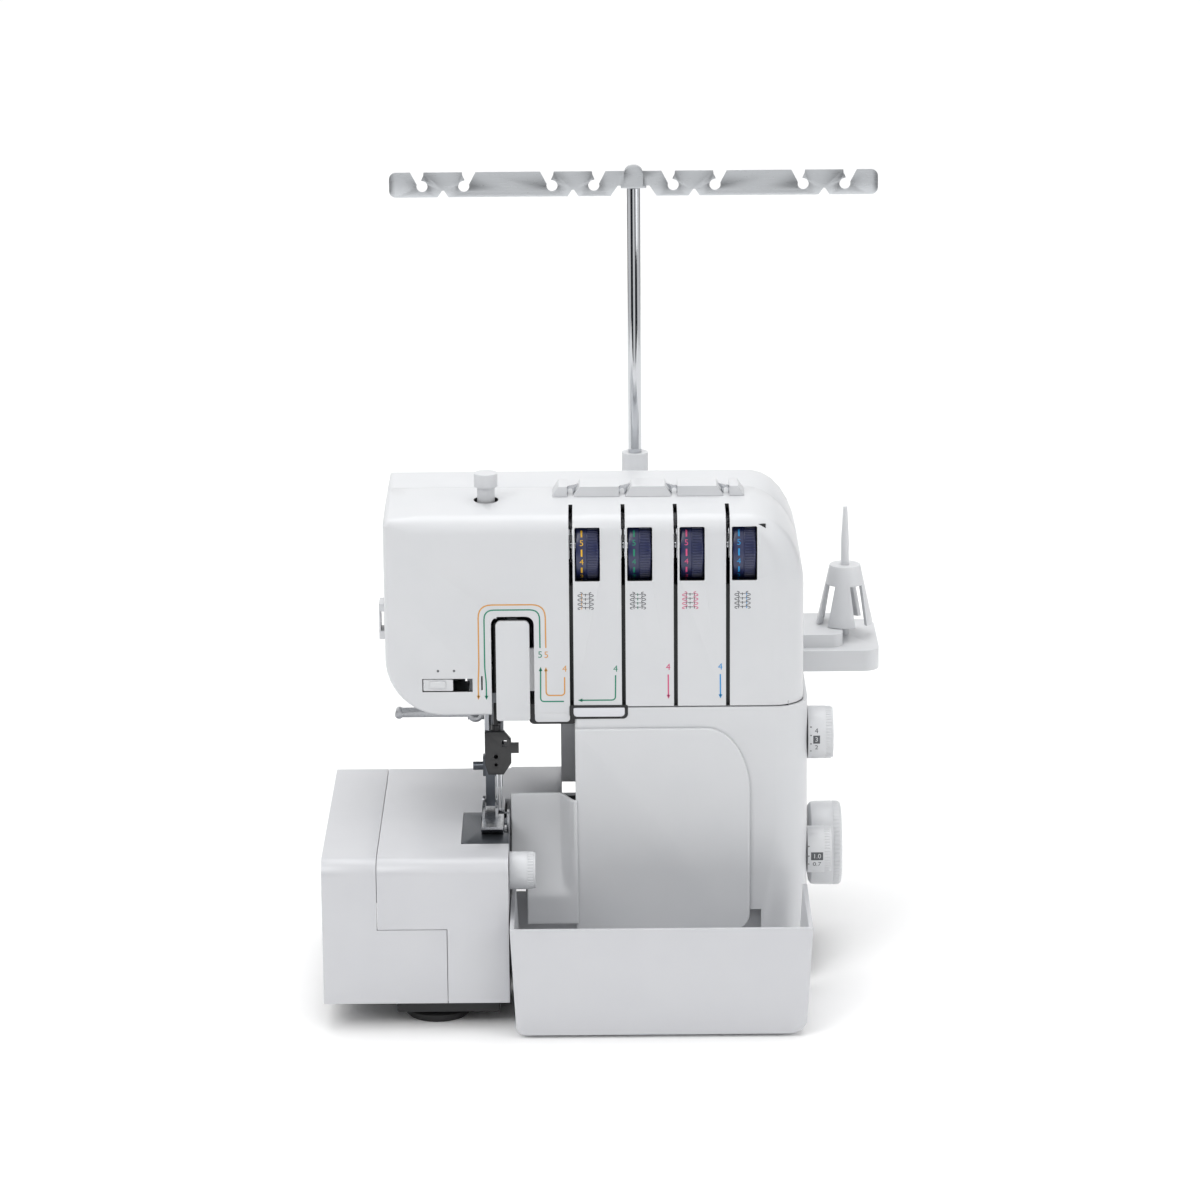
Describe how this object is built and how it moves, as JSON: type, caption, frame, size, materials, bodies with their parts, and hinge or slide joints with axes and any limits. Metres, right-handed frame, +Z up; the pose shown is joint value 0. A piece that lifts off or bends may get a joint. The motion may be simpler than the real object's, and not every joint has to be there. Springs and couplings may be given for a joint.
{
  "type": "overlock sewing machine",
  "caption": "Household overlock sewing machine with extension table, trimmings tray, tension dials, hinged looper cover, spool stand and telescopic thread mast.",
  "frame": {"origin": "on the table under the middle of the overall width and depth", "axes": "+X to the operator's right along the arm, +Y away from the operator, +Z up"},
  "size_m": [0.3337, 0.28, 0.4715],
  "materials": {
    "white_abs": "semi-gloss moulded ABS",
    "tray_plastic": "satin moulded plastic",
    "black_plastic": "matt black plastic",
    "black_sheet": "black painted steel sheet",
    "foot_rubber": "black rubber",
    "cast_aluminium": "as-cast aluminium",
    "sheet_steel": "brushed steel",
    "dark_steel": "dark satin coated steel",
    "chrome": "polished chrome",
    "bar_aluminium": "fine brushed aluminium sheet",
    "dial_navy": "semi-gloss navy plastic",
    "clear_plastic": "pale translucent plastic"
  },
  "bodies": {
    "frame": {"base_pan": "black_sheet", "rubber_feet": "foot_rubber", "main_frame": "cast_aluminium", "rear_casing": "white_abs", "arm_casing": "white_abs", "lower_casing": "white_abs", "bed_casing": "white_abs", "thread_panel": "white_abs", "slot_liner": "black_plastic", "guide_caps": "white_abs", "top_hooks": "chrome", "tension_bracket": "sheet_steel", "tension_spindles": "chrome", "tension_discs": "chrome", "needle_plate": "dark_steel", "lower_knife": "sheet_steel", "lamp_lens": "clear_plastic", "inlet_socket": "black_plastic", "thread_cutter": "white_abs", "spool_stand": "white_abs", "spool_pins": "white_abs", "spool_cones": "white_abs", "mast_sleeve": "white_abs", "casing_screws": "chrome", "motor": "sheet_steel", "drive_belt": "foot_rubber", "presser_spring": "sheet_steel"},
    "shaft": {"main_shaft": "sheet_steel", "handwheel": "white_abs"},
    "motor_rotor": {"motor_pulley": "sheet_steel"},
    "needle_rocker": {"arm_shaft": "cast_aluminium", "take_up_lever": "sheet_steel"},
    "needle_assembly": {"needle_bar": "chrome", "needle_clamp": "black_plastic", "needles": "chrome"},
    "upper_looper_arm": {"upper_looper": "sheet_steel"},
    "lower_looper_arm": {"lower_looper": "sheet_steel"},
    "knife_arm": {"upper_knife": "sheet_steel"},
    "feed_bar": {"feed_dogs": "cast_aluminium"},
    "presser": {"presser_bar": "chrome", "presser_ankle": "dark_steel"},
    "foot": {"presser_foot": "sheet_steel"},
    "lifter": {"presser_lever": "sheet_steel"},
    "pressure_screw": {"pressure_knob": "white_abs"},
    "tension_1": {"tension_dial_1": "dial_navy"},
    "tension_2": {"tension_dial_2": "dial_navy"},
    "tension_3": {"tension_dial_3": "dial_navy"},
    "tension_4": {"tension_dial_4": "dial_navy"},
    "length_dial": {"stitch_length_dial": "white_abs"},
    "feed_ratio_dial": {"differential_dial": "white_abs"},
    "width_dial": {"stitch_width_dial": "white_abs"},
    "needle_selector": {"needle_slider": "white_abs"},
    "threader_unit": {"threader": "black_plastic"},
    "cover_slide_pin": {"cover_pin": "chrome"},
    "front_cover": {"looper_cover": "white_abs"},
    "table": {"extension_table": "white_abs"},
    "tray": {"waste_tray": "tray_plastic"},
    "mast_inner": {"mast_rod": "chrome"},
    "guide": {"guide_bar": "bar_aluminium"},
    "switch": {"power_rocker": "black_plastic"}
  },
  "joints": [
    {"name": "handwheel_turn", "type": "hinge", "parent": "frame", "child": "shaft", "pos_m": [0.1176, 0.016, 0.066], "axis": [1, 0, 0], "continuous": true},
    {"name": "motor_turn", "type": "hinge", "parent": "frame", "child": "motor_rotor", "pos_m": [0.093, 0.017, 0.128], "axis": [1, 0, 0], "continuous": true},
    {"name": "needle_drive_swing", "type": "hinge", "parent": "frame", "child": "needle_rocker", "pos_m": [-0.065, -0.004, 0.23], "axis": [-1, 0, 0], "range_deg": [-25.3, 11.3]},
    {"name": "needle_bar_slide", "type": "slide", "parent": "frame", "child": "needle_assembly", "axis": [0, 0, 1], "range_m": [-0.0157, 0.0069]},
    {"name": "upper_looper_swing", "type": "hinge", "parent": "frame", "child": "upper_looper_arm", "pos_m": [-0.0288, -0.032, 0.052], "axis": [0, 1, 0], "range_deg": [-16, 16]},
    {"name": "lower_looper_swing", "type": "hinge", "parent": "frame", "child": "lower_looper_arm", "pos_m": [-0.0418, -0.037, 0.044], "axis": [0, 1, 0], "range_deg": [-16, 16]},
    {"name": "upper_knife_slide", "type": "slide", "parent": "frame", "child": "knife_arm", "axis": [0, 0, 1], "range_m": [-0.0045, 0.003]},
    {"name": "feed_slide", "type": "slide", "parent": "frame", "child": "feed_bar", "axis": [0, 1, 0], "range_m": [-0.0022, 0.0022]},
    {"name": "presser_lever_turn", "type": "hinge", "parent": "frame", "child": "lifter", "pos_m": [-0.08, 0.01, 0.151], "axis": [0, 1, 0], "range_deg": [0, 25.3]},
    {"name": "presser_lift", "type": "slide", "parent": "frame", "child": "presser", "axis": [0, 0, 1], "range_m": [0, 0.006], "deforming": ["presser_spring"]},
    {"name": "presser_foot_tilt", "type": "hinge", "parent": "presser", "child": "foot", "pos_m": [-0.071, -0.032, 0.11], "axis": [-1, 0, 0], "range_deg": [0, 12]},
    {"name": "pressure_knob_turn", "type": "hinge", "parent": "frame", "child": "pressure_screw", "pos_m": [-0.071, -0.02, 0.292], "axis": [0, 0, 1], "range_deg": [-360, 360]},
    {"name": "tension_1_turn", "type": "hinge", "parent": "frame", "child": "tension_1", "pos_m": [-0.0164, -0.0346, 0.267], "axis": [1, 0, 0], "range_deg": [-150, 150]},
    {"name": "tension_2_turn", "type": "hinge", "parent": "frame", "child": "tension_2", "pos_m": [0.0141, -0.0346, 0.267], "axis": [1, 0, 0], "range_deg": [-150, 150]},
    {"name": "tension_3_turn", "type": "hinge", "parent": "frame", "child": "tension_3", "pos_m": [0.0446, -0.0346, 0.267], "axis": [1, 0, 0], "range_deg": [-150, 150]},
    {"name": "tension_4_turn", "type": "hinge", "parent": "frame", "child": "tension_4", "pos_m": [0.0751, -0.0346, 0.267], "axis": [1, 0, 0], "range_deg": [-150, 150]},
    {"name": "stitch_length_turn", "type": "hinge", "parent": "frame", "child": "length_dial", "pos_m": [0.1176, -0.025, 0.149], "axis": [1, 0, 0], "range_deg": [-60, 120]},
    {"name": "differential_turn", "type": "hinge", "parent": "frame", "child": "feed_ratio_dial", "pos_m": [0.1176, -0.026, 0.076], "axis": [1, 0, 0], "range_deg": [-40, 120]},
    {"name": "stitch_width_turn", "type": "hinge", "parent": "frame", "child": "width_dial", "pos_m": [-0.0588, -0.099, 0.089], "axis": [1, 0, 0], "range_deg": [-90, 60]},
    {"name": "needle_select_slide", "type": "slide", "parent": "frame", "child": "needle_selector", "axis": [1, 0, 0], "range_m": [0, 0.011]},
    {"name": "threader_slide", "type": "slide", "parent": "frame", "child": "threader_unit", "axis": [0, 0, 1], "range_m": [-0.01, 0]},
    {"name": "looper_cover_slide", "type": "slide", "parent": "frame", "child": "cover_slide_pin", "axis": [1, 0, 0], "range_m": [0, 0.006]},
    {"name": "looper_cover_open", "type": "hinge", "parent": "cover_slide_pin", "child": "front_cover", "pos_m": [-0.0198, -0.051, 0.044], "axis": [1, 0, 0], "range_deg": [0, 42]},
    {"name": "table_slide", "type": "slide", "parent": "frame", "child": "table", "axis": [-1, 0, 0], "range_m": [0, 0.11]},
    {"name": "tray_slide", "type": "slide", "parent": "frame", "child": "tray", "axis": [0, -1, 0], "range_m": [0, 0.1]},
    {"name": "mast_slide", "type": "slide", "parent": "frame", "child": "mast_inner", "axis": [0, 0, -1], "range_m": [0, 0.1]},
    {"name": "guide_bar_turn", "type": "hinge", "parent": "mast_inner", "child": "guide", "pos_m": [0.0175, 0.085, 0.458], "axis": [0, 0, 1], "range_deg": [-90, 90]},
    {"name": "power_switch_tilt", "type": "hinge", "parent": "frame", "child": "switch", "pos_m": [0.1166, 0.036, 0.11], "axis": [0, 1, 0], "range_deg": [-12, 0]}
  ],
  "couplings": [
    {"joint": "motor_turn", "follows": "handwheel_turn", "ratio": 2.8571},
    {"joint": "needle_drive_swing", "follows": "needle_bar_slide", "rad_per_m": 27.778},
    {"joint": "upper_looper_swing", "follows": "needle_bar_slide", "rad_per_m": 8.889},
    {"joint": "lower_looper_swing", "follows": "needle_bar_slide", "rad_per_m": -8.889},
    {"joint": "upper_knife_slide", "follows": "needle_bar_slide", "ratio": 0.25},
    {"joint": "feed_slide", "follows": "needle_bar_slide", "ratio": 0.125},
    {"joint": "presser_lever_turn", "follows": "presser_lift", "rad_per_m": 72.722}
  ]
}
